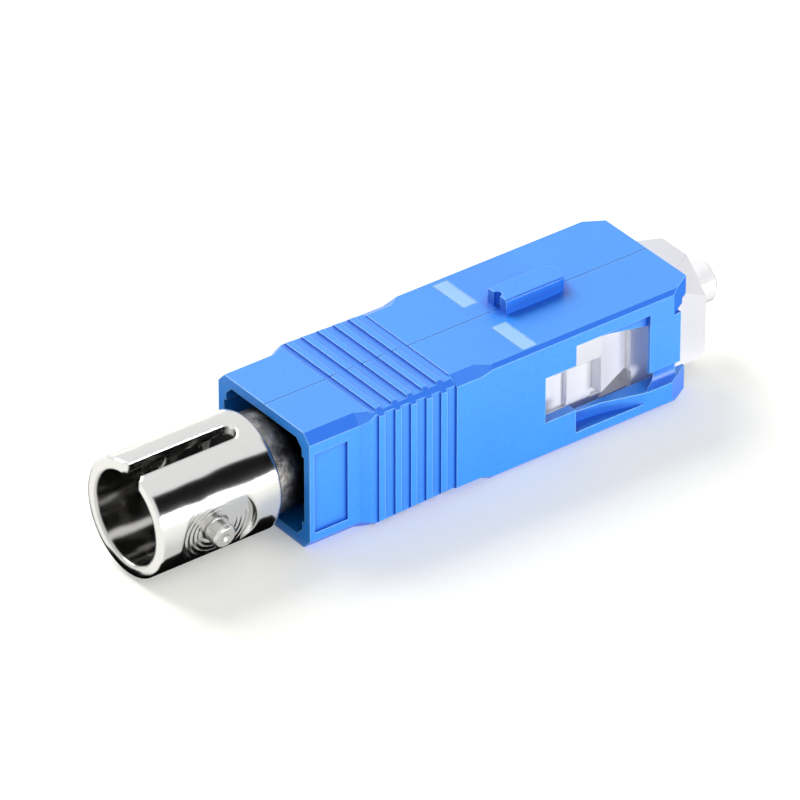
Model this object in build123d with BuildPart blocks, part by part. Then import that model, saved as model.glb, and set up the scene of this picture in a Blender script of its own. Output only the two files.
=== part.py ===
"""Male to female fibre adapter: a push-pull plug end (+X) and a bayonet barrel end (origin).

Millimetres. The optical axis is X, the mouth of the barrel is X = 0, the plug end points to +X,
and the key of the sleeve points to +Z.
"""
from math import cos, radians, sin

from build123d import *
import os

os.makedirs("parts", exist_ok=True)

# Stations along the optical axis
sleeve_rear = 9.25
side_ramp_start = 12.6
side_ramp_end = 13.56
grip_start = 13.35
grip_end = 20.65
body_start = 21.4
sleeve_front = 35.5
frame_rear = 22.8
frame_front = 37.55
ferrule_rear = 13.8
ferrule_tip = 39.8

# Gripping ribs, cut as valleys into the raised grip
rib_stations = (13.9, 15.0, 16.05, 17.1, 18.1)
rib_width = 0.42
rib_last_step = 18.94
rib_relief = 0.12
valley_depth_top = 0.06
valley_depth_bottom = 0.12

# Outer sections of the sleeve: half width, top, chamfer across, chamfer down
half_height = 3.7
grip_half_width = 4.35
rib_half_width = grip_half_width + rib_relief
rib_top = half_height - valley_depth_top + rib_relief
rear_section = (4.15, half_height, 0.55, 0.60)
rib_rear_section = (rib_half_width, rib_top, 0.40, 0.34)
rib_front_section = (rib_half_width, rib_top, 0.59, 0.55)
shoulder_section = (4.48, half_height, 0.75, 0.43)
body_section = (4.50, half_height, 0.235, 0.235)
body_half_width = body_section[0]

# Clearances
sliding_gap = 0.10
fixed_gap = 0.02
bonded_gap = 0.005
optical_gap = 0.015

# Inside of the sleeve
cavity_half_height = 3.1
rear_cavity_half_width = 3.45
front_cavity_half_width = 3.85
rear_cavity_chamfer = 0.5
ledge_start = 20.5
ledge_end = 21.5
ledge_opening = 2.45
channel_depth = 0.2
channel_half_height = 2.1
channel_length = 2.6
cavity_round = 0.25
catch_way_high = 2.5

# Key on the top
key_start = 25.1
key_end = 29.4
key_half_width = 0.84
key_height = 0.93
key_round = 0.6
key_bevel = 0.1
key_notch_radius = 0.28

# Pale bars let into the top
mark_start = 23.65
mark_end = 24.62
mark_depth = 0.12
near_mark = (1.35, 4.19)
far_mark = (1.14, 3.97)

# Shallow plain panel on the near side only
panel_start = 9.56
panel_end = 11.8
panel_low = -2.6
panel_high = 2.46
panel_depth = 0.15

# Side windows
window_rear = 25.03
window_step = 27.15
window_front = 32.3
window_low = -1.43
window_step_high = 1.47
window_high = 2.75
cam_depth = 0.35
cam_edge = ((28.9, 2.52), (29.7, 2.43), (30.65, 2.24), (31.6, 2.06), (32.35, 1.92))
pillar_edge = 0.23
pillar_taper = 1.1

# Lower bar of the side window: a web that comes out to the side face in a ramp
bar_top = -2.2
bar_foot = -2.9
web_inner = 3.40
web_rear_outer = 3.60
web_middle = 29.4
web_middle_outer = 3.80
web_front = 32.0
web_root = 26.2

# Front of the sleeve
corner_leg_x = 1.56
corner_leg_y = 0.92
corner_inner = 3.42
corner_inner_start = 33.7
side_front = 34.45
side_front_high = 2.2
cove_radius = 0.62
cove_out = 0.15
cove_height = -1.65
parting_width = 0.05
parting_depth = 0.04
parting_offset = -0.07

# Optical parts
ferrule_radius = 1.25
fibre_radius = 0.0625
flange_radius = 2.1
flange_rear = 29.4
flange_front = 31.0
flange_tail = 1.6
flange_tail_radius = 1.55
flange_slot_depth = 0.35
flange_slot_width = 0.6
spring_wire = 0.36
spring_mean_radius = 1.82
spring_turns = 5.5
seat_front = 24.4
tube_radius = 2.28
frame_bore = 2.25
frame_nose_bore = 1.65
ferrule_way = 1.4

# Bayonet barrel
barrel_radius = 3.47
barrel_bore = 2.75
barrel_length = 7.95
barrel_floor = 7.2
barrel_turn = 11.0
neck_radius = 2.95
neck_end = 13.4
stub_radius = 2.72
stub_end = 15.4
keyway_width = 1.15
keyway_end = 6.85
lug_station = 3.87
lug_radius = 0.75
lug_tip = 3.95
spot_radius = 2.42
spot_flat = 3.05

# Holder and split sleeve
holder_radius = 2.3
holder_tip = 7.2
holder_end = 20.0
holder_joint = 14.2
holder_lip = 0.85
holder_lip_bore = 1.35
holder_bore = 1.7
holder_collar = 2.68
holder_collar_start = 15.45
holder_collar_end = 16.45
split_outer = 1.6
split_start = 8.1
split_end = 19.5
split_slot = 0.5


def octagon(section, bottom=None):
    """Corners of a chamfered rectangle, as (across, up)."""
    w, h, cw, ch = section
    low = -h if bottom is None else bottom
    return [
        (w, low + ch), (w, h - ch), (w - cw, h), (-w + cw, h),
        (-w, h - ch), (-w, low + ch), (-w + cw, low), (w - cw, low),
    ]


# The coupling sleeve: an outer shell that slides on the plug frame.
with BuildPart() as coupling_sleeve:
    # Rear collar, side ramps and the raised grip
    for station, section in (
        (sleeve_rear, rear_section),
        (side_ramp_start, rear_section),
        (side_ramp_end, rib_rear_section),
        (rib_last_step, rib_front_section),
    ):
        with BuildSketch(Plane.YZ.offset(station)):
            Polygon(*octagon(section, -half_height), align=None)
    loft(ruled=True)
    # Valleys round the grip, which leave the ribs standing
    rib_fronts = (grip_start,) + tuple(station + rib_width / 2 for station in rib_stations)
    rib_rears = tuple(station - rib_width / 2 for station in rib_stations) + (rib_last_step,)
    for valley_start, valley_end in zip(rib_fronts, rib_rears):
        middle = (valley_start + valley_end) / 2
        valley_length = valley_end - valley_start
        with Locations((middle, 0, half_height - valley_depth_top + 1)):
            Box(valley_length, 2 * body_half_width, 2, mode=Mode.SUBTRACT)
        with Locations((middle, 0, -half_height + valley_depth_bottom - 1)):
            Box(valley_length, 2 * body_half_width, 2, mode=Mode.SUBTRACT)
        for side in (-1, 1):
            with Locations((middle, side * (grip_half_width + 1), 0)):
                Box(valley_length, 2, 2 * half_height + 1, mode=Mode.SUBTRACT)
    # The first valley also levels the end of the ramps
    ramp_level = (side_ramp_start + grip_start) / 2
    with Locations((ramp_level, 0, half_height + 1)):
        Box(grip_start - side_ramp_start, 2 * body_half_width, 2, mode=Mode.SUBTRACT)
    for side in (-1, 1):
        with Locations((ramp_level, side * (grip_half_width + 1), 0)):
            Box(grip_start - side_ramp_start, 2, 2 * half_height + 1, mode=Mode.SUBTRACT)
    # Shoulder and body in front of the grip
    for station, section in (
        (rib_last_step, shoulder_section),
        (grip_end, shoulder_section),
        (body_start, body_section),
        (sleeve_front, body_section),
    ):
        with BuildSketch(Plane.YZ.offset(station)):
            Polygon(*octagon(section), align=None)
    loft(ruled=True)
    # Key with a rounded front end and a notch in its rear face
    with BuildSketch(Plane.XY.offset(half_height - 0.2)):
        with Locations(((key_start + key_end) / 2, 0)):
            Rectangle(key_end - key_start, 2 * key_half_width)
    extrude(amount=key_height + 0.2)
    key_corners = coupling_sleeve.edges().filter_by(Axis.Z).filter_by(
        lambda e: abs(e.center().X - key_end) < 0.01 and e.center().Z > half_height
    )
    fillet(key_corners, radius=key_round)
    key_top = coupling_sleeve.edges().filter_by(
        lambda e: abs(e.center().Z - half_height - key_height) < 0.01
        and abs(e.center().X - key_start) > 0.01
    )
    chamfer(key_top, length=key_bevel)
    with Locations((key_start, 0, half_height + key_height / 2)):
        Cylinder(key_notch_radius, key_height, mode=Mode.SUBTRACT)
    # Diagonal cuts at the front corners, above and below the set-back side wall
    for side, start, height in (
        (-1, side_front_high - 0.02, 4),
        (1, side_front_high - 0.02, 4),
        (-1, bar_top + 0.02, -4),
        (1, bar_top + 0.02, -4),
    ):
        with BuildSketch(Plane.XY.offset(start)):
            Polygon(
                (sleeve_front - corner_leg_x, side * body_half_width),
                (sleeve_front + 0.5 * corner_leg_x, side * (body_half_width - 1.5 * corner_leg_y)),
                (sleeve_front + 2, side * (body_half_width + 2)),
                (sleeve_front - corner_leg_x, side * (body_half_width + 2)),
                align=None,
            )
        extrude(amount=height, mode=Mode.SUBTRACT)
    # Cavity behind the ledge, with shallow channels in its side walls
    with BuildSketch(Plane.YZ.offset(sleeve_rear)):
        Polygon(
            *octagon(
                (rear_cavity_half_width, cavity_half_height, rear_cavity_chamfer, rear_cavity_chamfer)
            ),
            align=None,
        )
    extrude(amount=ledge_start - sleeve_rear, mode=Mode.SUBTRACT)
    with BuildSketch(Plane.YZ.offset(sleeve_rear)):
        Rectangle(2 * (rear_cavity_half_width + channel_depth), 2 * channel_half_height)
    extrude(amount=channel_length, mode=Mode.SUBTRACT)
    # Opening through the ledge, and the cavity in front of it
    with BuildSketch(Plane.YZ.offset(ledge_start - 1)):
        Circle(ledge_opening)
    extrude(amount=ledge_end - ledge_start + 2, mode=Mode.SUBTRACT)
    with BuildSketch(Plane.YZ.offset(ledge_end)):
        RectangleRounded(2 * front_cavity_half_width, 2 * cavity_half_height, cavity_round)
    extrude(amount=web_root - ledge_end, mode=Mode.SUBTRACT)
    # From the root of the webs on, the cavity is narrower along its lower corners
    with BuildSketch(Plane.YZ.offset(web_root)):
        Polygon(
            (front_cavity_half_width, cavity_half_height),
            (front_cavity_half_width, bar_top),
            (web_inner, bar_top),
            (web_inner, -cavity_half_height),
            (-web_inner, -cavity_half_height),
            (-web_inner, bar_top),
            (-front_cavity_half_width, bar_top),
            (-front_cavity_half_width, cavity_half_height),
            align=None,
        )
    extrude(amount=corner_inner_start - web_root, mode=Mode.SUBTRACT)
    # In the front corners it is narrower above as well
    with BuildSketch(Plane.YZ.offset(corner_inner_start)):
        Polygon(
            (corner_inner, cavity_half_height),
            (corner_inner, catch_way_high),
            (front_cavity_half_width, catch_way_high),
            (front_cavity_half_width, bar_top),
            (web_inner, bar_top),
            (web_inner, -cavity_half_height),
            (-web_inner, -cavity_half_height),
            (-web_inner, bar_top),
            (-front_cavity_half_width, bar_top),
            (-front_cavity_half_width, catch_way_high),
            (-corner_inner, catch_way_high),
            (-corner_inner, cavity_half_height),
            align=None,
        )
    extrude(amount=sleeve_front - corner_inner_start + 1, mode=Mode.SUBTRACT)
    for side in (-1, 1):
        # Window in the side wall
        with BuildSketch(Plane.XZ.offset(-side * (front_cavity_half_width - 0.02))):
            Polygon(
                (window_rear, window_low),
                (window_step, window_low),
                (window_step, bar_top),
                (window_front, bar_top),
                (window_front, window_high),
                (window_step, window_high),
                (window_step, window_step_high),
                (window_rear, window_step_high),
                align=None,
            )
        extrude(amount=-side * 2, mode=Mode.SUBTRACT)
        # Cam lip at the upper front of the window, on the inner half of the wall
        with BuildSketch(Plane.XZ.offset(-side * front_cavity_half_width)):
            Polygon(
                (cam_edge[0][0], window_high + 0.05),
                *cam_edge,
                (cam_edge[-1][0], window_high + 0.05),
                align=None,
            )
        extrude(amount=-side * cam_depth)
        # The front pillar tapers to a thin edge at the window
        with BuildSketch(Plane.XY.offset(bar_top)):
            Polygon(
                (window_front - 0.05, side * (front_cavity_half_width - 0.02)),
                (window_front - 0.05, side * (body_half_width - pillar_edge)),
                (window_front, side * (body_half_width - pillar_edge)),
                (window_front + pillar_taper, side * (front_cavity_half_width - 0.02)),
                align=None,
            )
        extrude(amount=cam_edge[-1][1] - bar_top, mode=Mode.SUBTRACT)
        # Ramp on the outer face of the web
        with BuildSketch(Plane.XY.offset(bar_foot)):
            Polygon(
                (window_step, side * web_rear_outer),
                (web_middle, side * web_middle_outer),
                (web_front, side * body_half_width),
                (web_front, side * (body_half_width + 1)),
                (window_step, side * (body_half_width + 1)),
                align=None,
            )
        extrude(amount=window_low - bar_foot, mode=Mode.SUBTRACT)
        # Cove at the foot of the front pillar
        with BuildSketch(Plane.YZ.offset(window_front - 0.1)):
            with Locations((side * (body_half_width + cove_out), cove_height)):
                Circle(cove_radius)
        extrude(amount=sleeve_front - window_front + 1, mode=Mode.SUBTRACT)
        # The side wall is set back between the front corners
        with BuildSketch(Plane.XZ.offset(-side * (corner_inner - 0.1))):
            Polygon(
                (side_front, bar_top),
                (sleeve_front + 1, bar_top),
                (sleeve_front + 1, side_front_high),
                (side_front, side_front_high),
                align=None,
            )
        extrude(amount=-side * 3, mode=Mode.SUBTRACT)
        # Recess of each pale bar
        low, high = near_mark if side < 0 else far_mark
        with Locations(((mark_start + mark_end) / 2, side * (low + high) / 2, half_height)):
            Box(mark_end - mark_start, high - low, 2 * mark_depth, mode=Mode.SUBTRACT)
    # Shallow plain panel on the near side
    with Locations(((panel_start + panel_end) / 2, -rear_section[0], (panel_low + panel_high) / 2)):
        Box(panel_end - panel_start, 2 * panel_depth, panel_high - panel_low, mode=Mode.SUBTRACT)
    # Parting line along the top, over the ribs and the key
    with Locations(((sleeve_rear + sleeve_front) / 2, parting_offset, half_height - parting_depth + 0.1)):
        Box(sleeve_front - sleeve_rear + 1, parting_width, 0.2, mode=Mode.SUBTRACT)
coupling_sleeve.part.label = "coupling_sleeve"
export_step(coupling_sleeve.part, "parts/coupling_sleeve.step")

# Two pale bars that fill their recesses on the top.
with BuildPart() as witness_mark_near:
    with BuildSketch(Plane.XY.offset(half_height - mark_depth)):
        with Locations(((mark_start + mark_end) / 2, -(near_mark[0] + near_mark[1]) / 2)):
            Rectangle(
                mark_end - mark_start - 2 * fixed_gap,
                near_mark[1] - near_mark[0] - 2 * fixed_gap,
            )
    extrude(amount=mark_depth)
witness_mark_near.part.label = "witness_mark_near"
export_step(witness_mark_near.part, "parts/witness_mark_near.step")

with BuildPart() as witness_mark_far:
    with BuildSketch(Plane.XY.offset(half_height - mark_depth)):
        with Locations(((mark_start + mark_end) / 2, (far_mark[0] + far_mark[1]) / 2)):
            Rectangle(
                mark_end - mark_start - 2 * fixed_gap,
                far_mark[1] - far_mark[0] - 2 * fixed_gap,
            )
    extrude(amount=mark_depth)
witness_mark_far.part.label = "witness_mark_far"
export_step(witness_mark_far.part, "parts/witness_mark_far.step")

# Plug frame: guides the ferrule and carries the catches on both sides.
frame_half_width = 2.86
guide_length = 1.2
guide_half_width = front_cavity_half_width - 0.15
guide_half_height = 1.8
frame_top = 3.0
frame_bottom = -2.95
frame_lower_facet = 1.1
panel_half_width = 2.5
waist_half_width = 2.45
pocket_start = 27.75
catch_start = 29.5
catch_end = 32.2
catch_top = 3.7
catch_low = -1.65
catch_high = 2.4
arm_low = 0.75
arm_start = 26.3

with BuildPart() as plug_frame:
    with BuildSketch(Plane.YZ.offset(frame_rear)):
        Polygon(
            (frame_half_width, frame_bottom + frame_lower_facet),
            (frame_half_width, frame_top - 0.25),
            (frame_half_width - 0.25, frame_top),
            (-frame_half_width + 0.25, frame_top),
            (-frame_half_width, frame_top - 0.25),
            (-frame_half_width, frame_bottom + frame_lower_facet),
            (-frame_half_width + 0.26, frame_bottom),
            (frame_half_width - 0.26, frame_bottom),
            align=None,
        )
    extrude(amount=catch_end - frame_rear)
    with BuildSketch(Plane.YZ.offset(catch_end)):
        Polygon(
            (frame_half_width, frame_bottom + 0.2),
            (frame_half_width, frame_top - 0.1),
            (frame_half_width - 0.1, frame_top),
            (-frame_half_width + 0.1, frame_top),
            (-frame_half_width, frame_top - 0.1),
            (-frame_half_width, frame_bottom + 0.2),
            (-frame_half_width + 0.2, frame_bottom),
            (frame_half_width - 0.2, frame_bottom),
            align=None,
        )
    extrude(amount=frame_front - catch_end)
    for side in (-1, 1):
        # Guide pad at the rear that runs in the sleeve
        with Locations((frame_rear + guide_length / 2, side * guide_half_width / 2, 0)):
            Box(guide_length, guide_half_width, 2 * guide_half_height)
        # Lower panel behind the pocket
        with Locations(((24.6 + pocket_start) / 2, side * (panel_half_width + 0.5), 0.1)):
            Box(pocket_start - 24.6, 1.0, 5.0, mode=Mode.SUBTRACT)
        # Waist in front of the pocket, from which the catch rises
        with Locations(((catch_start + catch_end) / 2, side * (waist_half_width + 0.5), 0.15)):
            Box(catch_end - catch_start, 1.0, 5.1, mode=Mode.SUBTRACT)
        # Catch: a steep face to the rear and a long slope to the front
        with BuildSketch(Plane.XY.offset(catch_low)):
            Polygon(
                (catch_start, side * (waist_half_width - 0.1)),
                (catch_start, side * catch_top),
                (catch_end - 0.05, side * waist_half_width),
                (catch_end - 0.05, side * (waist_half_width - 0.1)),
                align=None,
            )
        extrude(amount=catch_high - catch_low)
        # Arm that runs back over the pocket
        with Locations(
            (
                (arm_start + catch_start) / 2 + 0.05,
                side * (catch_top + waist_half_width) / 2,
                (arm_low + catch_high) / 2,
            )
        ):
            Box(catch_start - arm_start + 0.1, catch_top - waist_half_width, catch_high - arm_low)
        # Hollow below the catch
        with BuildSketch(Plane.XZ.offset(-side * 1.2)):
            Polygon((30.1, -2.75), (30.9, -1.7), (32.3, -1.7), (32.3, -2.75), align=None)
        extrude(amount=-side * 2, mode=Mode.SUBTRACT)
        # Slanting cut on the upper front corner
        corner_cut = Plane(
            origin=(frame_front, side * 1.1, frame_top),
            z_dir=(0.32, side * 0.68, 0.66),
        )
        with BuildSketch(corner_cut):
            Rectangle(12, 12)
        extrude(amount=4, mode=Mode.SUBTRACT)
        # Small cut on the lower front corner
        lower_cut = Plane(
            origin=(frame_front, side * (frame_half_width - 0.5), frame_bottom),
            z_dir=(0.5, side * 0.6, -0.62),
        )
        with BuildSketch(lower_cut):
            Rectangle(12, 12)
        extrude(amount=4, mode=Mode.SUBTRACT)
    with BuildSketch(Plane.YZ.offset(frame_rear)):
        Circle(frame_bore + 0.05)
    extrude(amount=seat_front - frame_rear, mode=Mode.SUBTRACT)
    with BuildSketch(Plane.YZ.offset(seat_front)):
        Circle(frame_bore)
    extrude(amount=flange_front - seat_front, mode=Mode.SUBTRACT)
    with BuildSketch(Plane.YZ.offset(flange_front)):
        Circle(frame_nose_bore)
    extrude(amount=frame_front - flange_front + 1, mode=Mode.SUBTRACT)
    nose_rim = plug_frame.edges().filter_by(GeomType.CIRCLE).filter_by(
        lambda e: abs(e.center().X - frame_front) < 0.01 and e.radius < 2
    )
    chamfer(nose_rim, length=0.25)
plug_frame.part.label = "plug_frame"
export_step(plug_frame.part, "parts/plug_frame.step")

# Ferrule that runs from the meeting face inside the split sleeve to the plug's tip.
with BuildPart() as ferrule:
    with BuildSketch(Plane.YZ.offset(ferrule_rear)):
        Circle(ferrule_radius)
    extrude(amount=ferrule_tip - ferrule_rear)
    rims = ferrule.edges().filter_by(GeomType.CIRCLE)
    chamfer(rims, length=0.17)
    with BuildSketch(Plane.YZ.offset(ferrule_rear - 1)):
        Circle(fibre_radius + bonded_gap / 5)
    extrude(amount=ferrule_tip - ferrule_rear + 2, mode=Mode.SUBTRACT)
ferrule.part.label = "ferrule"
export_step(ferrule.part, "parts/ferrule.step")

# Stub of fibre through the ferrule.
with BuildPart() as fibre:
    with BuildSketch(Plane.YZ.offset(ferrule_rear)):
        Circle(fibre_radius)
    extrude(amount=ferrule_tip - ferrule_rear)
fibre.part.label = "fibre"
export_step(fibre.part, "parts/fibre.step")

# Flange pressed on the ferrule. The spring pushes on its rear face.
with BuildPart() as ferrule_flange:
    with BuildSketch(Plane.YZ.offset(flange_rear)):
        Circle(flange_radius)
    extrude(amount=flange_front - flange_rear)
    with BuildSketch(Plane.YZ.offset(flange_rear - flange_tail)):
        Circle(flange_tail_radius)
    extrude(amount=flange_tail)
    for angle in (0, 90, 180, 270):
        slot_plane = Plane(
            origin=(flange_front, 0, 0),
            x_dir=(0, cos(radians(angle)), sin(radians(angle))),
            z_dir=(1, 0, 0),
        )
        with BuildSketch(slot_plane):
            with Locations((flange_radius, 0)):
                Rectangle(2 * flange_slot_depth, flange_slot_width)
        extrude(amount=-(flange_front - flange_rear), mode=Mode.SUBTRACT)
    with BuildSketch(Plane.YZ.offset(flange_rear - flange_tail)):
        Circle(ferrule_radius + bonded_gap)
    extrude(amount=flange_front - flange_rear + flange_tail, mode=Mode.SUBTRACT)
ferrule_flange.part.label = "ferrule_flange"
export_step(ferrule_flange.part, "parts/ferrule_flange.step")

# Compression spring round the ferrule.
spring_low = seat_front + spring_wire / 2 + 0.02
spring_high = flange_rear - spring_wire / 2 - 0.02
with BuildPart() as ferrule_spring:
    with BuildLine() as coil:
        Helix(
            pitch=(spring_high - spring_low) / spring_turns,
            height=spring_high - spring_low,
            radius=spring_mean_radius,
            center=(spring_low, 0, 0),
            direction=(1, 0, 0),
        )
    with BuildSketch(Plane(origin=coil.line @ 0, z_dir=coil.line % 0)):
        RegularPolygon(spring_wire / 2, 8)
    sweep()
ferrule_spring.part.label = "ferrule_spring"
export_step(ferrule_spring.part, "parts/ferrule_spring.step")

# Coupling body: joins the barrel to the plug frame and seats the spring.
body_block_front = 20.4
with BuildPart() as coupling_body:
    with BuildSketch(Plane.YZ.offset(neck_end)):
        Polygon(
            *octagon(
                (
                    rear_cavity_half_width - sliding_gap,
                    cavity_half_height - sliding_gap,
                    rear_cavity_chamfer,
                    rear_cavity_chamfer,
                )
            ),
            align=None,
        )
    extrude(amount=body_block_front - neck_end)
    with BuildSketch(Plane.YZ.offset(body_block_front)):
        Circle(tube_radius)
    extrude(amount=seat_front - body_block_front)
    with BuildSketch(Plane.YZ.offset(neck_end)):
        Circle(stub_radius + fixed_gap)
    extrude(amount=holder_collar_end - neck_end, mode=Mode.SUBTRACT)
    with BuildSketch(Plane.YZ.offset(holder_collar_end)):
        Circle(holder_radius + fixed_gap)
    extrude(amount=holder_end + 0.05 - holder_collar_end, mode=Mode.SUBTRACT)
    with BuildSketch(Plane.YZ.offset(holder_end)):
        Circle(ferrule_way)
    extrude(amount=seat_front - holder_end + 1, mode=Mode.SUBTRACT)
coupling_body.part.label = "coupling_body"
export_step(coupling_body.part, "parts/coupling_body.step")

# Bayonet barrel with its keyway and lugs. It is turned about the axis, as in the photograph.
turn = radians(barrel_turn)
key_way = (0, -sin(turn), cos(turn))
lug_way = (0, -cos(turn), -sin(turn))
with BuildPart() as bayonet_barrel:
    with BuildSketch(Plane.YZ):
        Circle(barrel_radius)
    extrude(amount=barrel_length)
    rear_rim = bayonet_barrel.edges().filter_by(GeomType.CIRCLE)
    chamfer(rear_rim, length=0.08)
    with BuildSketch(Plane.YZ.offset(barrel_length - 0.05)):
        Circle(neck_radius)
    extrude(amount=neck_end - barrel_length + 0.05)
    with BuildSketch(Plane.YZ.offset(neck_end)):
        Circle(stub_radius)
    extrude(amount=stub_end - neck_end)
    # Bore for the mating plug, and the way through for the holder
    with BuildSketch(Plane.YZ):
        Circle(barrel_bore)
    extrude(amount=barrel_floor, mode=Mode.SUBTRACT)
    with BuildSketch(Plane.YZ.offset(barrel_floor)):
        Circle(holder_radius + fixed_gap)
    extrude(amount=stub_end - barrel_floor + 1, mode=Mode.SUBTRACT)
    bore_rim = bayonet_barrel.edges().filter_by(GeomType.CIRCLE).filter_by(
        lambda e: abs(e.center().X) < 0.01 and e.radius < barrel_bore + 0.01
    )
    chamfer(bore_rim, length=0.09)
    # Keyway through the wall, with its mouth eased
    with BuildSketch(Plane(origin=(0, 0, 0), x_dir=(1, 0, 0), z_dir=key_way)):
        with BuildLine():
            half = keyway_width / 2
            Line((-1, half + 0.2), (0, half + 0.2))
            RadiusArc((0, half + 0.2), (0.25, half), 0.3)
            Line((0.25, half), (keyway_end - half, half))
            ThreePointArc((keyway_end - half, half), (keyway_end, 0), (keyway_end - half, -half))
            Line((keyway_end - half, -half), (0.25, -half))
            RadiusArc((0.25, -half), (0, -half - 0.2), 0.3)
            Line((0, -half - 0.2), (-1, -half - 0.2))
            Line((-1, -half - 0.2), (-1, half + 0.2))
        make_face()
    extrude(amount=5, mode=Mode.SUBTRACT)
    # Spot faces and lugs on both sides
    for side in (-1, 1):
        way = tuple(side * value for value in lug_way)
        lug_plane = Plane(origin=(lug_station, 0, 0), x_dir=(1, 0, 0), z_dir=way)
        with BuildSketch(lug_plane.offset(spot_flat)):
            Circle(spot_radius)
        extrude(amount=2, mode=Mode.SUBTRACT)
        with BuildSketch(lug_plane.offset(barrel_bore - 0.5)):
            Circle(lug_radius + bonded_gap)
        extrude(amount=2, mode=Mode.SUBTRACT)
bayonet_barrel.part.label = "bayonet_barrel"
export_step(bayonet_barrel.part, "parts/bayonet_barrel.step")

# Lug pins, pressed into the wall of the barrel at the middle of each spot face.
for name, side in (("lug_pin_near", 1), ("lug_pin_far", -1)):
    way = tuple(side * value for value in lug_way)
    pin_plane = Plane(origin=(lug_station, 0, 0), x_dir=(1, 0, 0), z_dir=way)
    with BuildPart() as lug_pin:
        with BuildSketch(pin_plane.offset(barrel_bore + 0.03)):
            Circle(lug_radius)
        extrude(amount=lug_tip - barrel_bore - 0.03 - 0.14)
        with BuildSketch(pin_plane.offset(lug_tip - 0.14)):
            Circle(lug_radius)
        extrude(amount=0.14, taper=45)
        with BuildSketch(pin_plane.offset(lug_tip)):
            Circle(0.24)
        extrude(amount=-0.12, taper=50, mode=Mode.SUBTRACT)
    lug_pin.part.label = name
    export_step(lug_pin.part, f"parts/{name}.step")

# Holder of the split sleeve, in two halves that are closed over it. The front half lies in the
# barrel. The rear half has the collar that is gripped between the barrel's stub and the body.
with BuildPart() as holder_front:
    with BuildSketch(Plane.YZ.offset(holder_tip)):
        Circle(holder_radius)
    extrude(amount=holder_joint - holder_tip)
    with BuildSketch(Plane.YZ.offset(holder_tip - 1)):
        Circle(holder_lip_bore)
    extrude(amount=5, mode=Mode.SUBTRACT)
    with BuildSketch(Plane.YZ.offset(holder_tip + holder_lip)):
        Circle(holder_bore)
    extrude(amount=holder_joint - holder_tip, mode=Mode.SUBTRACT)
    lead_in = holder_front.edges().filter_by(GeomType.CIRCLE).filter_by(
        lambda e: abs(e.center().X - holder_tip) < 0.01 and e.radius < holder_bore
    )
    chamfer(lead_in, length=0.2)
holder_front.part.label = "holder_front"
export_step(holder_front.part, "parts/holder_front.step")

with BuildPart() as holder_rear:
    with BuildSketch(Plane.YZ.offset(holder_joint + fixed_gap)):
        Circle(holder_radius)
    extrude(amount=holder_end - holder_joint - fixed_gap)
    with BuildSketch(Plane.YZ.offset(holder_collar_start)):
        Circle(holder_collar)
    extrude(amount=holder_collar_end - fixed_gap - holder_collar_start)
    with BuildSketch(Plane.YZ.offset(holder_joint - 1)):
        Circle(holder_bore)
    extrude(amount=holder_end, mode=Mode.SUBTRACT)
holder_rear.part.label = "holder_rear"
export_step(holder_rear.part, "parts/holder_rear.step")

# Split sleeve that lines up the two ferrules.
with BuildPart() as split_sleeve:
    with BuildSketch(Plane.YZ.offset(split_start)):
        Circle(split_outer)
        Circle(ferrule_radius + optical_gap, mode=Mode.SUBTRACT)
        with Locations((0, split_outer)):
            Rectangle(split_slot, 1.2, mode=Mode.SUBTRACT)
    extrude(amount=split_end - split_start)
split_sleeve.part.label = "split_sleeve"
export_step(split_sleeve.part, "parts/split_sleeve.step")
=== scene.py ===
"""Looks for a male to female fibre adapter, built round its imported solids. Sizes in metres."""
from math import cos, pi, radians, sin

import bmesh
import bpy
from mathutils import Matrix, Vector


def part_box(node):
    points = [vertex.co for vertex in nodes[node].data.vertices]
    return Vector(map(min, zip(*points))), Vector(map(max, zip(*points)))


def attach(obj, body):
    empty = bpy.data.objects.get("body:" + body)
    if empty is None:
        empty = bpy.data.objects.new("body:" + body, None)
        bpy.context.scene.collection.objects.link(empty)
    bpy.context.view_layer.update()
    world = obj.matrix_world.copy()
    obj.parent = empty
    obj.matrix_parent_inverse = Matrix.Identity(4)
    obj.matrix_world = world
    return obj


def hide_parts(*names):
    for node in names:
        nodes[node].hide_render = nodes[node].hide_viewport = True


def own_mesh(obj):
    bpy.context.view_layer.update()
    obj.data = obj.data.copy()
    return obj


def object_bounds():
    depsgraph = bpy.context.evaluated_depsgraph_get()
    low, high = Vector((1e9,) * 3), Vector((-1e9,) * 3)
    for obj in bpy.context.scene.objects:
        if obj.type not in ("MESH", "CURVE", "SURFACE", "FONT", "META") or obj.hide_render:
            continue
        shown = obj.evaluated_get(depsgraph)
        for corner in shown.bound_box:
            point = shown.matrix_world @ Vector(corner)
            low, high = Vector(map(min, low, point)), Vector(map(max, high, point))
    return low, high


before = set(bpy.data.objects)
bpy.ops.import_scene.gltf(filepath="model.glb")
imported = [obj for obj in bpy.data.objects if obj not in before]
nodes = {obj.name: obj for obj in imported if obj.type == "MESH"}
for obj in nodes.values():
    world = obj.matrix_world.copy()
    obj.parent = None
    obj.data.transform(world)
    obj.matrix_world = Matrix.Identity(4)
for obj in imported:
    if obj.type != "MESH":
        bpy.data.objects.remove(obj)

solid_box = [list(corner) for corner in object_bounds()]

# The coupling sleeve is the blue shell that a finger and thumb slide. It is moulded in PBT, a dense
# satin plastic, in two halves of a tool, so a fine parting line runs along it. The eye sees soft
# light edges, a faint grain from the spark-eroded tool and a clean, strong blue. The light edges are
# a painted highlight, and the deeper blue of its corners, grooves and chamfers is painted shade.
mm = 0.001


def srgb(hex_colour):
    """Linear RGBA of an sRGB hex colour."""
    values = [int(hex_colour[i:i + 2], 16) / 255 for i in (1, 3, 5)]
    return [v / 12.92 if v <= 0.04045 else ((v + 0.055) / 1.055) ** 2.4 for v in values] + [1.0]


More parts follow.
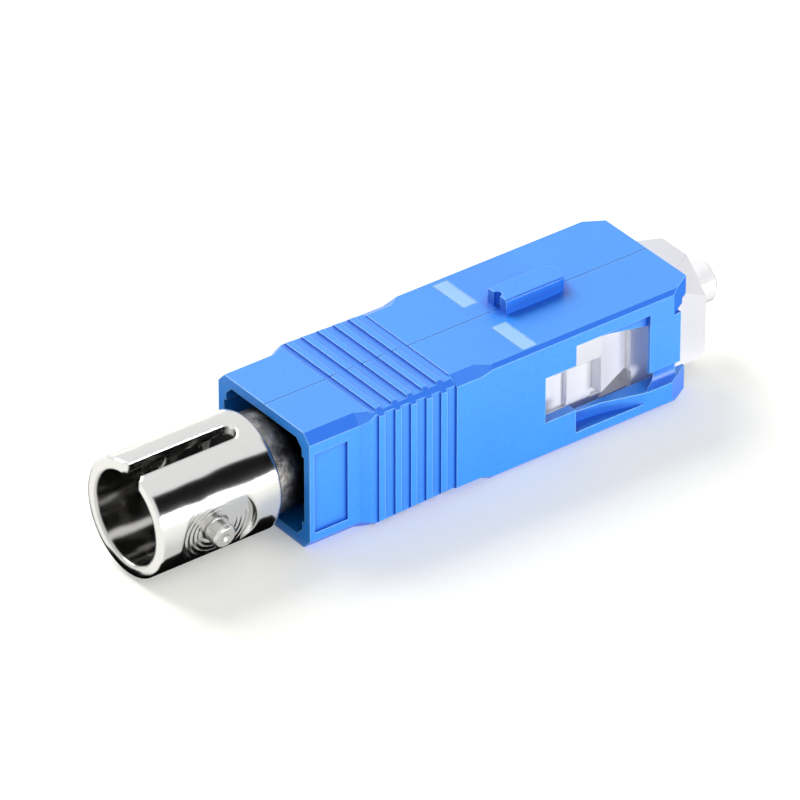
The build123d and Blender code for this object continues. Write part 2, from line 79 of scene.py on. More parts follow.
def add_node(tree, kind, settings=None, inputs=None):
    """Adds a node. settings are its own properties, inputs the values or sockets that feed it."""
    node = tree.nodes.new(kind)
    for name, value in (settings or {}).items():
        setattr(node, name, value)
    for name, value in (inputs or {}).items():
        socket = node.inputs[name]
        if isinstance(value, bpy.types.NodeSocket):
            tree.links.new(value, socket)
        else:
            socket.default_value = value
    return node


def new_material(name):
    """An empty node material and the tree that its nodes go in."""
    made = bpy.data.materials.new(name)
    made.use_nodes = True
    made.node_tree.nodes.clear()
    return made, made.node_tree


def give(names, finish):
    """Puts one finish on CAD nodes."""
    for name in names:
        slots = nodes[name].material_slots
        if not slots:
            nodes[name].data.materials.append(finish)
        for slot in slots:
            slot.link = "OBJECT"
            slot.material = finish


def open_sky(tree, reach):
    """The share of open sky over a point, as the piece itself leaves it within a reach."""
    sky = add_node(tree, "ShaderNodeAmbientOcclusion", {"samples": 8, "only_local": True},
                   {"Distance": reach})
    return sky.outputs["AO"]


def corner_mask(tree, sky, shut, free):
    """1 where the share of open sky is below shut, and 0 where it is above free."""
    mask = add_node(tree, "ShaderNodeMapRange", {"interpolation_type": "SMOOTHSTEP"},
                    {"Value": sky, "From Min": shut, "From Max": free, "To Min": 1.0, "To Max": 0.0})
    return mask.outputs["Result"]


pbt_blue, tree = new_material("pbt_blue_moulded")
place = add_node(tree, "ShaderNodeTexCoord")
# Grain of a spark-eroded tool, about 0.05 mm on the real sleeve and drawn coarser so that it shows
grain_size = 0.12 * mm
grain = add_node(tree, "ShaderNodeTexNoise", None,
                 {"Vector": place.outputs["Object"], "Scale": 1 / grain_size, "Detail": 3.0,
                  "Roughness": 0.6})
# Slow change of tone where the melt flowed
flow_size = 6 * mm
flow = add_node(tree, "ShaderNodeTexNoise", None,
                {"Vector": place.outputs["Object"], "Scale": 1 / flow_size, "Detail": 2.0})
blend = add_node(tree, "ShaderNodeMath", {"operation": "MULTIPLY_ADD"},
                 {0: grain.outputs["Fac"], 1: 2.0, 2: -0.80})
drift = add_node(tree, "ShaderNodeMath", {"operation": "MULTIPLY_ADD", "use_clamp": True},
                 {0: flow.outputs["Fac"], 1: 0.6, 2: blend.outputs["Value"]})
tone = add_node(tree, "ShaderNodeMix", {"data_type": "RGBA"},
                {"Factor": drift.outputs["Value"], "A": srgb("#0E86F4"), "B": srgb("#1E98FF")})
# The 45 degree edges and corner facets get painted shade, a deeper blue that stands in for the
# less light they catch. On them two parts of the normal are alike, so their product is near a half.
surface = add_node(tree, "ShaderNodeNewGeometry")
facing = add_node(tree, "ShaderNodeSeparateXYZ", None, {"Vector": surface.outputs["Normal"]})
slants = []
for one, other in (("Y", "Z"), ("X", "Y")):
    product = add_node(tree, "ShaderNodeMath", {"operation": "MULTIPLY"},
                       {0: facing.outputs[one], 1: facing.outputs[other]})
    slants.append(add_node(tree, "ShaderNodeMath", {"operation": "ABSOLUTE"},
                           {0: product.outputs["Value"]}))
slant = add_node(tree, "ShaderNodeMath", {"operation": "MAXIMUM"},
                 {0: slants[0].outputs["Value"], 1: slants[1].outputs["Value"]})
painted_chamfer_shade = add_node(tree, "ShaderNodeMapRange", None,
                    {"Value": slant.outputs["Value"], "From Min": 0.30, "From Max": 0.47})
chamfer_shaded_tone = add_node(tree, "ShaderNodeMix", {"data_type": "RGBA"},
                    {"Factor": painted_chamfer_shade.outputs["Result"], "A": tone.outputs["Result"],
                     "B": srgb("#0070EA")})
# Painted shade: the blue turns deeper in corners, widely in hollows and finely in grooves, where shade
# falls
hollow_reach = 2.0 * mm
groove_reach = 0.50 * mm
painted_hollow_shade = corner_mask(tree, open_sky(tree, hollow_reach), shut=0.55, free=0.95)
groove_sky = open_sky(tree, groove_reach)
painted_groove_shade = corner_mask(tree, groove_sky, shut=0.76, free=0.990)
shaded = add_node(tree, "ShaderNodeMix", {"data_type": "RGBA"},
                  {"Factor": painted_hollow_shade, "A": chamfer_shaded_tone.outputs["Result"], "B": srgb("#0850BE")})
groove_shaded = add_node(tree, "ShaderNodeMix", {"data_type": "RGBA"},
                {"Factor": painted_groove_shade, "A": shaded.outputs["Result"], "B": srgb("#0068D8")})
# Outer edges are rounded, and a painted highlight lightens their colour. In a narrow groove the
# rounding would reach across it.
edge_radius = 0.09 * mm
rounded = add_node(tree, "ShaderNodeBevel", {"samples": 8}, {"Radius": edge_radius})
agree = add_node(tree, "ShaderNodeVectorMath", {"operation": "DOT_PRODUCT"},
                 {0: rounded.outputs["Normal"], 1: surface.outputs["Normal"]})
turned = add_node(tree, "ShaderNodeMapRange", None,
                  {"Value": agree.outputs["Value"], "From Min": 0.99, "From Max": 0.90})
outer = add_node(tree, "ShaderNodeMapRange", None,
                 {"Value": groove_sky, "From Min": 0.85, "From Max": 0.98})
soft_edge = add_node(tree, "ShaderNodeMix", {"data_type": "VECTOR"},
                     {"Factor": outer.outputs["Result"], "A": surface.outputs["Normal"],
                      "B": rounded.outputs["Normal"]})
soft_normal = add_node(tree, "ShaderNodeVectorMath", {"operation": "NORMALIZE"},
                       {0: soft_edge.outputs["Result"]})
painted_edge_highlight = add_node(tree, "ShaderNodeMath", {"operation": "MULTIPLY"},
                {0: turned.outputs["Result"], 1: outer.outputs["Result"]})
# Painted highlight: pale blue on the rounded outer edges
lit = add_node(tree, "ShaderNodeMix", {"data_type": "RGBA"},
               {"Factor": painted_edge_highlight.outputs["Value"], "A": groove_shaded.outputs["Result"], "B": srgb("#84CCFF")})
relief = add_node(tree, "ShaderNodeBump", None,
                  {"Height": grain.outputs["Fac"], "Strength": 0.30, "Distance": 0.01 * mm,
                   "Normal": soft_normal.outputs["Vector"]})
rough = add_node(tree, "ShaderNodeMapRange", None,
                 {"Value": grain.outputs["Fac"], "To Min": 0.32, "To Max": 0.44})
shell = add_node(tree, "ShaderNodeBsdfPrincipled", None,
                 {"Base Color": lit.outputs["Result"], "Roughness": rough.outputs["Result"],
                  "IOR": 1.62, "Specular IOR Level": 0.75, "Normal": relief.outputs["Normal"]})
add_node(tree, "ShaderNodeOutputMaterial", None, {"Surface": shell.outputs["BSDF"]})
give(["coupling_sleeve"], pbt_blue)

# Two pale bars are moulded separately in light blue PBT and pressed into the top. They show how far
# the plug is home. Their faces are a little smoother than the sleeve round them.
pbt_pale, tree = new_material("pbt_pale_blue_moulded")
place = add_node(tree, "ShaderNodeTexCoord")
# Fine tool grain again, drawn coarser so that it shows
grain_size = 0.15 * mm
grain = add_node(tree, "ShaderNodeTexNoise", None,
                 {"Vector": place.outputs["Object"], "Scale": 1 / grain_size, "Detail": 2.0})
tone = add_node(tree, "ShaderNodeMix", {"data_type": "RGBA"},
                {"Factor": grain.outputs["Fac"], "A": srgb("#8FC3F7"), "B": srgb("#A2CFFA")})
relief = add_node(tree, "ShaderNodeBump", None,
                  {"Height": grain.outputs["Fac"], "Strength": 0.08, "Distance": 0.01 * mm})
bar = add_node(tree, "ShaderNodeBsdfPrincipled", None,
               {"Base Color": tone.outputs["Result"], "Roughness": 0.4, "IOR": 1.5,
                "Normal": relief.outputs["Normal"]})
add_node(tree, "ShaderNodeOutputMaterial", None, {"Surface": bar.outputs["BSDF"]})
give(["witness_mark_near", "witness_mark_far"], pbt_pale)

# The plug frame is moulded in natural white PBT. Light goes a little way into it, so its edges look
# soft. Its hollows are kept pale by painted light in the colour.
pbt_white, tree = new_material("pbt_natural_white")
place = add_node(tree, "ShaderNodeTexCoord")
# Slight clouding of unfilled resin
cloud_size = 2 * mm
cloud = add_node(tree, "ShaderNodeTexNoise", None,
                 {"Vector": place.outputs["Object"], "Scale": 1 / cloud_size, "Detail": 3.0})
tone = add_node(tree, "ShaderNodeMix", {"data_type": "RGBA"},
                {"Factor": cloud.outputs["Fac"], "A": srgb("#D3D2D8"), "B": srgb("#DCDBE0")})
# Painted light: the colour turns paler in hollows, where shade would fall, so they look no darker
hollow_light_reach = 3.0 * mm
sky = add_node(tree, "ShaderNodeAmbientOcclusion", {"samples": 8}, {"Distance": hollow_light_reach})
painted_hollow_light = add_node(tree, "ShaderNodeMapRange", None,
                  {"Value": sky.outputs["AO"], "From Min": 0.90, "From Max": 0.50})
tone = add_node(tree, "ShaderNodeMix", {"data_type": "RGBA"},
                {"Factor": painted_hollow_light.outputs["Result"], "A": tone.outputs["Result"], "B": srgb("#FAF9FB")})
rounded = add_node(tree, "ShaderNodeBevel", {"samples": 6}, {"Radius": edge_radius})
# Tool grain as on the sleeve, drawn coarser so that it shows
grain_size = 0.12 * mm
grain = add_node(tree, "ShaderNodeTexNoise", None,
                 {"Vector": place.outputs["Object"], "Scale": 1 / grain_size, "Detail": 2.0})
relief = add_node(tree, "ShaderNodeBump", None,
                  {"Height": grain.outputs["Fac"], "Strength": 0.06, "Distance": 0.01 * mm,
                   "Normal": rounded.outputs["Normal"]})
# How far light goes into it
scatter = 0.5 * mm
resin = add_node(tree, "ShaderNodeBsdfPrincipled", None,
                 {"Base Color": tone.outputs["Result"], "Roughness": 0.42, "IOR": 1.5,
                  "Normal": relief.outputs["Normal"], "Subsurface Weight": 0.2,
                  "Subsurface Radius": (scatter, scatter, scatter), "Subsurface Scale": 1.0})
add_node(tree, "ShaderNodeOutputMaterial", None, {"Surface": resin.outputs["BSDF"]})
give(["plug_frame"], pbt_white)


# The ferrule and the split sleeve are zirconia, ground and polished. They look like white glazed
# china, with a sharp highlight and a trace of depth.
def ring_scale(pitch):
    """Scale of a wave texture whose rings are a pitch apart. At a scale of 1 they are pi / 10 apart."""
    return pi / (10 * pitch)


zirconia, tree = new_material("zirconia_polished")
place = add_node(tree, "ShaderNodeTexCoord")
# Grinding marks round the rod, some 0.05 mm apart on the real one and drawn wider so that they show
mark_pitch = 0.63 * mm
marks = add_node(tree, "ShaderNodeTexWave", {"bands_direction": "X"},
                 {"Vector": place.outputs["Object"], "Scale": ring_scale(mark_pitch),
                  "Distortion": 0.6})
polish = add_node(tree, "ShaderNodeMapRange", None,
                  {"Value": marks.outputs["Fac"], "To Min": 0.08, "To Max": 0.16})
rounded = add_node(tree, "ShaderNodeBevel", {"samples": 6}, {"Radius": 0.05 * mm})
china = add_node(tree, "ShaderNodeBsdfPrincipled", None,
                 {"Base Color": srgb("#F0EFF2"), "Roughness": polish.outputs["Result"], "IOR": 2.15,
                  "Normal": rounded.outputs["Normal"], "Subsurface Weight": 0.3,
                  "Subsurface Radius": (scatter, scatter, scatter), "Subsurface Scale": 1.0})
add_node(tree, "ShaderNodeOutputMaterial", None, {"Surface": china.outputs["BSDF"]})
give(["ferrule", "split_sleeve"], zirconia)

# The stub of fibre is cemented in the ferrule and polished flush with both of its faces. It is
# silica glass, and shows as a grey dot 0.125 mm across.
silica, tree = new_material("silica_fibre")
place = add_node(tree, "ShaderNodeTexCoord")
# Faint streaks that the last polish leaves
streak_size = 0.05 * mm
streaks = add_node(tree, "ShaderNodeTexNoise", None,
                   {"Vector": place.outputs["Object"], "Scale": 1 / streak_size})
tone = add_node(tree, "ShaderNodeMix", {"data_type": "RGBA"},
                {"Factor": streaks.outputs["Fac"], "A": srgb("#9AA4AC"), "B": srgb("#B4BDC4")})
glass = add_node(tree, "ShaderNodeBsdfPrincipled", None,
                 {"Base Color": tone.outputs["Result"], "Roughness": 0.05, "IOR": 1.46})
add_node(tree, "ShaderNodeOutputMaterial", None, {"Surface": glass.outputs["BSDF"]})
give(["fibre"], silica)

# The flange is turned in brass and nickel plated, then pressed on the ferrule.
# Rings from the turning tool run round it.
flange_plate, tree = new_material("brass_satin_nickel_plated")
place = add_node(tree, "ShaderNodeTexCoord")
# Feed marks of the turning tool, some 0.1 mm apart on the real one and drawn wider
feed = 0.63 * mm
rings = add_node(tree, "ShaderNodeTexWave", {"bands_direction": "X"},
                 {"Vector": place.outputs["Object"], "Scale": ring_scale(feed), "Distortion": 0.4})
cut = add_node(tree, "ShaderNodeBump", None,
               {"Height": rings.outputs["Fac"], "Strength": 0.2, "Distance": 0.01 * mm})
plated = add_node(tree, "ShaderNodeBsdfPrincipled", None,
                  {"Base Color": srgb("#C9C2AE"), "Metallic": 1.0, "Roughness": 0.28,
                   "Normal": cut.outputs["Normal"]})
add_node(tree, "ShaderNodeOutputMaterial", None, {"Surface": plated.outputs["BSDF"]})
give(["ferrule_flange"], flange_plate)

# The spring behind the flange is wound from stainless wire. Drawing marks run along the wire and
# leave it a duller grey than plate.
spring_wire, tree = new_material("stainless_spring_wire")
place = add_node(tree, "ShaderNodeTexCoord")
# Die lines, some 0.04 mm apart on the real wire and drawn wider so that they show
line_size = 0.08 * mm
lines = add_node(tree, "ShaderNodeTexNoise", None,
                 {"Vector": place.outputs["Object"], "Scale": 1 / line_size, "Detail": 2.0})
dull = add_node(tree, "ShaderNodeMapRange", None,
                {"Value": lines.outputs["Fac"], "To Min": 0.25, "To Max": 0.4})
wire = add_node(tree, "ShaderNodeBsdfPrincipled", None,
                {"Base Color": srgb("#B9B8B4"), "Metallic": 1.0, "Roughness": dull.outputs["Result"]})
add_node(tree, "ShaderNodeOutputMaterial", None, {"Surface": wire.outputs["BSDF"]})
# The coil is drawn again on its own, with a mesh of its own, and hung on the plug's body. On the
# real plug it shortens by as much as the ferrule floats back, its rear end on its seat and its front
# end on the flange; here it is not made shorter.
scene = bpy.context.scene
coil = bpy.data.objects.new("spring_coil", nodes["ferrule_spring"].data.copy())
scene.collection.objects.link(coil)
coil.data.materials.clear()
coil.data.materials.append(spring_wire)
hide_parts("ferrule_spring")
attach(coil, "plug")
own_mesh(coil)

# The coupling body and the holder sit in the shade between barrel and frame. They are moulded in
# black glass-filled plastic, dull, with short fibres that mottle the surface.
black_filled, tree = new_material("black_glass_filled_plastic")
place = add_node(tree, "ShaderNodeTexCoord")
# Glass fibres of the filling
fibre_length = 0.2 * mm
mottle = add_node(tree, "ShaderNodeTexNoise", None,
                  {"Vector": place.outputs["Object"], "Scale": 1 / fibre_length, "Detail": 4.0})
tone = add_node(tree, "ShaderNodeMix", {"data_type": "RGBA"},
                {"Factor": mottle.outputs["Fac"], "A": srgb("#0B0B0C"), "B": srgb("#1A1A1B")})
relief = add_node(tree, "ShaderNodeBump", None,
                  {"Height": mottle.outputs["Fac"], "Strength": 0.2, "Distance": 0.02 * mm})
black = add_node(tree, "ShaderNodeBsdfPrincipled", None,
                 {"Base Color": tone.outputs["Result"], "Roughness": 0.55, "IOR": 1.5,
                  "Normal": relief.outputs["Normal"]})
add_node(tree, "ShaderNodeOutputMaterial", None, {"Surface": black.outputs["BSDF"]})
give(["coupling_body", "holder_front", "holder_rear"], black_filled)

# The bayonet barrel is turned from brass, milled for the keyway and the spot faces of its lugs, and
# bright nickel plated. The outside is near a mirror with faint turning rings, the spot faces keep
# the swirls of the cutter, and the neck behind the shoulder is left rough and mottled. Painted shade
# darkens the bore and the neck inside the sleeve.
nickel, tree = new_material("bright_nickel_on_turned_brass")
place = add_node(tree, "ShaderNodeTexCoord")
split = add_node(tree, "ShaderNodeSeparateXYZ", None, {"Vector": place.outputs["Object"]})
# The edges of rim, keyway and spot faces are rounded over before the plating
rim_radius = 0.32 * mm
rounded = add_node(tree, "ShaderNodeBevel", {"samples": 12}, {"Radius": rim_radius})
# Tumbling before the plating leaves the wall slightly wavy from crest to crest
crest_pitch = 2.5 * mm
waves = add_node(tree, "ShaderNodeTexNoise", None,
                 {"Vector": place.outputs["Object"], "Scale": 1 / crest_pitch, "Detail": 1.0})
wave_relief = add_node(tree, "ShaderNodeBump", None,
                       {"Height": waves.outputs["Fac"], "Strength": 1.0, "Distance": 0.08 * mm,
                        "Normal": rounded.outputs["Normal"]})
# Turning rings, some 0.1 mm apart on the real barrel and drawn wider
ring_pitch = 0.75 * mm
rings = add_node(tree, "ShaderNodeTexWave", {"bands_direction": "X"},
                 {"Vector": place.outputs["Object"], "Scale": ring_scale(ring_pitch),
                  "Distortion": 1.5, "Detail": 2.0, "Detail Scale": 2.0})
ring_relief = add_node(tree, "ShaderNodeBump", None,
                       {"Height": rings.outputs["Fac"], "Strength": 0.05, "Distance": 0.01 * mm,
                        "Normal": wave_relief.outputs["Normal"]})
# Cutter swirls run round each lug, on the spot faces alone. The barrel is turned by 11 degrees, so the
# near lug points a little down and the far one a little up.
barrel_turn = radians(11)
lug_axis = Vector((0.0, -cos(barrel_turn), -sin(barrel_turn)))
pin_low, pin_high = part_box("lug_pin_near")
lug_station = 0.5 * (pin_low[0] + pin_high[0])
swirl_pitch = 0.30 * mm
# A spot face is flat, so far from the barrel's axis. The swirls fade out at its rim and at the pin.
spot_face = 3.05 * mm
spot_edge = (2.43 * mm, 2.30 * mm)
pin_edge = (0.95 * mm, 1.35 * mm)
away = add_node(tree, "ShaderNodeVectorMath", {"operation": "SUBTRACT"},
                {0: place.outputs["Object"], 1: (lug_station, 0.0, 0.0)})
beside = add_node(tree, "ShaderNodeVectorMath", {"operation": "CROSS_PRODUCT"},
                  {0: away.outputs["Vector"], 1: lug_axis})
reach = add_node(tree, "ShaderNodeVectorMath", {"operation": "LENGTH"}, {0: beside.outputs["Vector"]})
turns = add_node(tree, "ShaderNodeMath", {"operation": "MULTIPLY"},
                 {0: reach.outputs["Value"], 1: 2 * pi / swirl_pitch})
swirl = add_node(tree, "ShaderNodeMath", {"operation": "SINE"}, {0: turns.outputs["Value"]})
along = add_node(tree, "ShaderNodeVectorMath", {"operation": "DOT_PRODUCT"},
                 {0: place.outputs["Object"], 1: lug_axis})
height = add_node(tree, "ShaderNodeMath", {"operation": "ABSOLUTE"}, {0: along.outputs["Value"]})
on_face = add_node(tree, "ShaderNodeMath", {"operation": "COMPARE"},
                   {0: height.outputs["Value"], 1: spot_face, 2: 0.02 * mm})
inside = add_node(tree, "ShaderNodeMapRange", None,
                  {"Value": reach.outputs["Value"], "From Min": spot_edge[0],
                   "From Max": spot_edge[1]})
clear_of_pin = add_node(tree, "ShaderNodeMapRange", None,
                        {"Value": reach.outputs["Value"], "From Min": pin_edge[0],
                         "From Max": pin_edge[1]})
cut_ring = add_node(tree, "ShaderNodeMath", {"operation": "MULTIPLY"},
                    {0: inside.outputs["Result"], 1: clear_of_pin.outputs["Result"]})
cut_face = add_node(tree, "ShaderNodeMath", {"operation": "MULTIPLY"},
                    {0: on_face.outputs["Value"], 1: cut_ring.outputs["Value"]})
swirl_height = add_node(tree, "ShaderNodeMath", {"operation": "MULTIPLY"},
                        {0: swirl.outputs["Value"], 1: cut_face.outputs["Value"]})
swirl_relief = add_node(tree, "ShaderNodeBump", None,
                        {"Height": swirl_height.outputs["Value"], "Strength": 0.45,
                         "Distance": 0.016 * mm, "Normal": ring_relief.outputs["Normal"]})
# The neck behind the shoulder is pitted, in patches
neck_start = 7.97 * mm
patch_size = 0.9 * mm
neck = add_node(tree, "ShaderNodeMath", {"operation": "GREATER_THAN"},
                {0: split.outputs["X"], 1: neck_start})
pits = add_node(tree, "ShaderNodeTexNoise", None,
                {"Vector": place.outputs["Object"], "Scale": 1 / patch_size, "Detail": 5.0,
                 "Roughness": 0.62})
pit_height = add_node(tree, "ShaderNodeMath", {"operation": "MULTIPLY"},
                      {0: pits.outputs["Fac"], 1: neck.outputs["Value"]})
pit_relief = add_node(tree, "ShaderNodeBump", None,
                      {"Height": pit_height.outputs["Value"], "Strength": 0.7, "Distance": 0.12 * mm,
                       "Normal": swirl_relief.outputs["Normal"]})
# Scale and oil leave the neck mottled grey by the shoulder. Painted shade darkens it to near black
# inside the sleeve, where the sleeve's shadow falls.
sleeve_shade_span = (8.0 * mm, 10.0 * mm)
mottle = add_node(tree, "ShaderNodeMapRange", None,
                  {"Value": pits.outputs["Fac"], "From Min": 0.36, "From Max": 0.66})
scale_tone = add_node(tree, "ShaderNodeMix", {"data_type": "RGBA"},
                      {"Factor": mottle.outputs["Result"], "A": srgb("#4A4845"),
                       "B": srgb("#A8A5A0")})
painted_sleeve_shade = add_node(tree, "ShaderNodeMapRange", {"interpolation_type": "SMOOTHSTEP"},
                  {"Value": split.outputs["X"], "From Min": sleeve_shade_span[0], "From Max": sleeve_shade_span[1]})
neck_tone = add_node(tree, "ShaderNodeMix", {"data_type": "RGBA"},
                     {"Factor": painted_sleeve_shade.outputs["Result"], "A": scale_tone.outputs["Result"],
                      "B": srgb("#0C0B0B")})
# Painted shade: the plate's colour is darker in the bore, where the mouth's shade falls
bore_edge = (2.95 * mm, 2.80 * mm)
from_axis = add_node(tree, "ShaderNodeCombineXYZ", None,
                     {"Y": split.outputs["Y"], "Z": split.outputs["Z"]})
radius = add_node(tree, "ShaderNodeVectorMath", {"operation": "LENGTH"},
                  {0: from_axis.outputs["Vector"]})
painted_bore_shade = add_node(tree, "ShaderNodeMapRange", None,
                   {"Value": radius.outputs["Value"], "From Min": bore_edge[0],
                    "From Max": bore_edge[1]})
plate_tone = add_node(tree, "ShaderNodeMix", {"data_type": "RGBA"},
                      {"Factor": painted_bore_shade.outputs["Result"], "A": srgb("#DEDEDD"),
                       "B": srgb("#BFBEBC")})
tone = add_node(tree, "ShaderNodeMix", {"data_type": "RGBA"},
                {"Factor": neck.outputs["Value"], "A": plate_tone.outputs["Result"],
                 "B": neck_tone.outputs["Result"]})
rough = add_node(tree, "ShaderNodeMapRange", None,
                 {"Value": neck.outputs["Value"], "To Min": 0.13, "To Max": 0.45})
plate = add_node(tree, "ShaderNodeBsdfPrincipled", None,
                 {"Base Color": tone.outputs["Result"], "Metallic": 1.0,
                  "Roughness": rough.outputs["Result"], "Normal": pit_relief.outputs["Normal"]})
add_node(tree, "ShaderNodeOutputMaterial", None, {"Surface": plate.outputs["BSDF"]})
give(["bayonet_barrel"], nickel)

# The lug pins are turned and plated apart and then pressed into the barrel's spot faces, so they are
# a little duller than the barrel and keep fine tool marks.
pin_nickel, tree = new_material("satin_nickel_on_turned_pin")
place = add_node(tree, "ShaderNodeTexCoord")
# Tool marks on the pins
mark_size = 0.1 * mm
lines = add_node(tree, "ShaderNodeTexNoise", None,
                 {"Vector": place.outputs["Object"], "Scale": 1 / mark_size, "Detail": 3.0})
dull = add_node(tree, "ShaderNodeMapRange", None,
                {"Value": lines.outputs["Fac"], "To Min": 0.22, "To Max": 0.34})
rounded = add_node(tree, "ShaderNodeBevel", {"samples": 8}, {"Radius": 0.10 * mm})
pin = add_node(tree, "ShaderNodeBsdfPrincipled", None,
               {"Base Color": srgb("#CFCECC"), "Metallic": 1.0, "Roughness": dull.outputs["Result"],
                "Normal": rounded.outputs["Normal"]})
add_node(tree, "ShaderNodeOutputMaterial", None, {"Surface": pin.outputs["BSDF"]})
give(["lug_pin_near", "lug_pin_far"], pin_nickel)


# The adapter lies on a sheet of white paper on a table. The paper is matt, takes a soft shadow and
# is bright enough to run into the white behind it.
def flat_sheet(name, corners, finish):
    """A flat four-cornered sheet with its corners in order."""
    mesh = bpy.data.meshes.new(name)
    build = bmesh.new()
    build.faces.new([build.verts.new(corner) for corner in corners])
    build.to_mesh(mesh)
    build.free()
    made = bpy.data.objects.new(name, mesh)
    scene.collection.objects.link(made)
    made.data.materials.append(finish)
    return made


def seen_share(tree):
    """1 for a ray from the camera, off a gloss or through glass, and 0 for one that only lights."""
    rays = add_node(tree, "ShaderNodeLightPath")
    seen = rays.outputs["Is Camera Ray"]
    for kind in ("Is Glossy Ray", "Is Transmission Ray"):
        more = add_node(tree, "ShaderNodeMath", {"operation": "ADD", "use_clamp": True},
                        {0: seen, 1: rays.outputs[kind]})
        seen = more.outputs["Value"]
    return seen


paper, tree = new_material("white_paper_floor")
place = add_node(tree, "ShaderNodeTexCoord")
# Clumps of paper fibre
clump_size = 1.5 * mm
clumps = add_node(tree, "ShaderNodeTexNoise", None,
                  {"Vector": place.outputs["Object"], "Scale": 1 / clump_size, "Detail": 4.0})
tone = add_node(tree, "ShaderNodeMix", {"data_type": "RGBA"},
                {"Factor": clumps.outputs["Fac"], "A": srgb("#EFEEE7"), "B": srgb("#F2F1EA")})
matt = add_node(tree, "ShaderNodeBsdfDiffuse", None, {"Color": tone.outputs["Result"]})
paper_glow = 0.28
lift = add_node(tree, "ShaderNodeMath", {"operation": "MULTIPLY"}, {0: seen_share(tree), 1: paper_glow})
glow = add_node(tree, "ShaderNodeEmission", None,
                {"Color": srgb("#FFFFFF"), "Strength": lift.outputs["Value"]})
both = add_node(tree, "ShaderNodeAddShader", None,
                {0: matt.outputs["BSDF"], 1: glow.outputs["Emission"]})
add_node(tree, "ShaderNodeOutputMaterial", None, {"Surface": both.outputs["Shader"]})
# The sheet lies a hair below the sleeve's flat underside, because faces in one plane would flicker
half_floor = 1.5
floor_z = solid_box[0][2] - 0.02 * mm
floor = flat_sheet("floor", [(-half_floor, -half_floor, floor_z), (half_floor, -half_floor, floor_z),
                             (half_floor, half_floor, floor_z), (-half_floor, half_floor, floor_z)],
                   paper)

# The world is plain white, as in a white tent. It has its full strength where it is seen or
# mirrored, and less where it only lights.
world = bpy.data.worlds.new("white_studio")
scene.world = world
world.use_nodes = True
tree = world.node_tree
tree.nodes.clear()
tent_light = 0.48
strength = add_node(tree, "ShaderNodeMapRange", None,
                    {"Value": seen_share(tree), "To Min": tent_light, "To Max": 1.0})
tent = add_node(tree, "ShaderNodeBackground", None,
                {"Color": srgb("#FFFFFF"), "Strength": strength.outputs["Result"]})
add_node(tree, "ShaderNodeOutputWorld", None, {"Surface": tent.outputs["Background"]})

# Two soft boxes light the adapter: a large one behind and above it, which leaves the rear faces and
# the near chamfers in shade, and a low one in front that fills the near side.
middle = Vector((0.5 * (solid_box[0][0] + solid_box[1][0]), 0, 0))


def soft_box(name, way, distance, width, height, level):
    """An oblong lamp. level is what a white card facing it from the adapter would show."""
    lamp = bpy.data.lights.new(name, "AREA")
    lamp.shape = "RECTANGLE"
    lamp.size = width
    lamp.size_y = height
    lamp.energy = level * pi ** 2 * distance ** 2
    made = bpy.data.objects.new(name, lamp)
    scene.collection.objects.link(made)
    out = Vector(way).normalized()
    made.location = middle + distance * out
    made.rotation_euler = out.to_track_quat("Z", "Y").to_euler()


soft_box("key_soft_box", way=(-0.10, 0.75, 0.65), distance=0.60, width=0.40, height=0.40, level=0.92)
soft_box("fill_soft_box", way=(0.25, -0.95, 0.12), distance=0.60, width=0.36, height=0.12, level=0.70)

# Black cards stand and lie round the adapter out of the camera's sight, as for any bright metal, and
# only mirrored rays meet them. They are covered in black felt.
card_black, tree = new_material("black_felt_card")
place = add_node(tree, "ShaderNodeTexCoord")
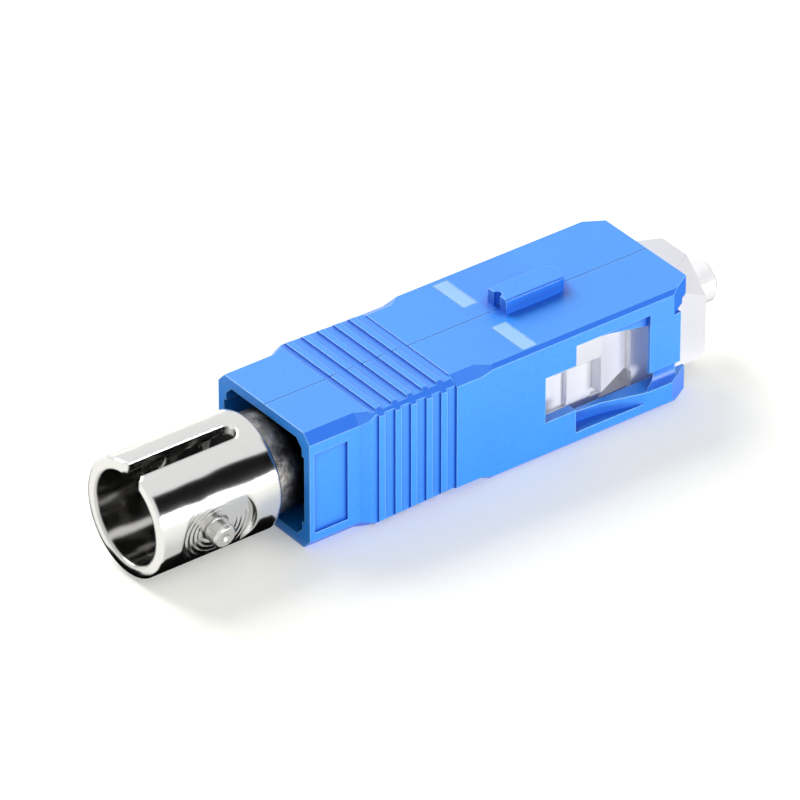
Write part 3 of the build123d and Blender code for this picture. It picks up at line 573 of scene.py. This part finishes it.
# Nap of the felt
nap_size = 1 * mm
nap = add_node(tree, "ShaderNodeTexNoise", None,
               {"Vector": place.outputs["Object"], "Scale": 1 / nap_size})
tone = add_node(tree, "ShaderNodeMix", {"data_type": "RGBA"},
                {"Factor": nap.outputs["Fac"], "A": srgb("#050505"), "B": srgb("#0A0A0A")})
felt = add_node(tree, "ShaderNodeEmission", None, {"Color": tone.outputs["Result"], "Strength": 1.0})
add_node(tree, "ShaderNodeOutputMaterial", None, {"Surface": felt.outputs["Emission"]})


def black_card(name, corners):
    """A card that is met by mirrored rays alone."""
    card = flat_sheet(name, corners, card_black)
    card.visible_camera = False
    card.visible_diffuse = False
    card.visible_shadow = False
    card.visible_transmission = False


card_distance = 0.30


def hung_card(name, ends, degrees_from_zenith):
    """A card along X on the near side, between two angles from the zenith round the barrel's axis."""
    upper, lower = [(-card_distance * sin(radians(angle)), card_distance * cos(radians(angle)))
                    for angle in degrees_from_zenith]
    black_card(name, [(ends[0], *upper), (ends[1], *upper), (ends[1], *lower), (ends[0], *lower)])


card_z = floor_z + 0.01 * mm


def laid_card(name, ends, sides):
    """A card on the paper, between two ends along X and two sides along Y."""
    black_card(name, [(ends[0], sides[0], card_z), (ends[1], sides[0], card_z),
                      (ends[1], sides[1], card_z), (ends[0], sides[1], card_z)])


# This one is mirrored as the dark band along the near side of the barrel
hung_card("band_card", ends=(0.05, 0.33), degrees_from_zenith=(34, 73))
# This one is mirrored by the sleeve's near chamfers alone and deepens them
hung_card("chamfer_card", ends=(0.22, 0.42), degrees_from_zenith=(5, 34))
# This one is a painted shadow: it lies where the barrel's contact shadow falls and darkens the
# lower flank of the barrel and the edge of its rim
laid_card("painted_shadow_card", ends=(-0.9 * mm, 9.0 * mm), sides=(-4.3 * mm, 14.0 * mm))
# This one lies before the plug and darkens the facets at the sleeve's front corners
laid_card("front_card", ends=(40.2 * mm, 52.0 * mm), sides=(-7.0 * mm, 8.0 * mm))

# A long lens far off shows almost no perspective, as in the photograph. It looks down by 33 degrees,
# from beyond the barrel and from the near side.
lens = bpy.data.cameras.new("long_lens")
lens.sensor_width = 36.0
lens.lens = 386.6
lens.clip_end = 10.0
azimuth = radians(-37.018)
elevation = radians(33.132)
viewer = bpy.data.objects.new("camera", lens)
scene.collection.objects.link(viewer)
viewer.location = (-0.2180, -0.31358, 0.25665)
viewer.rotation_euler = (pi / 2 - elevation, 0.0, azimuth)
scene.camera = viewer
scene.view_settings.view_transform = "Standard"
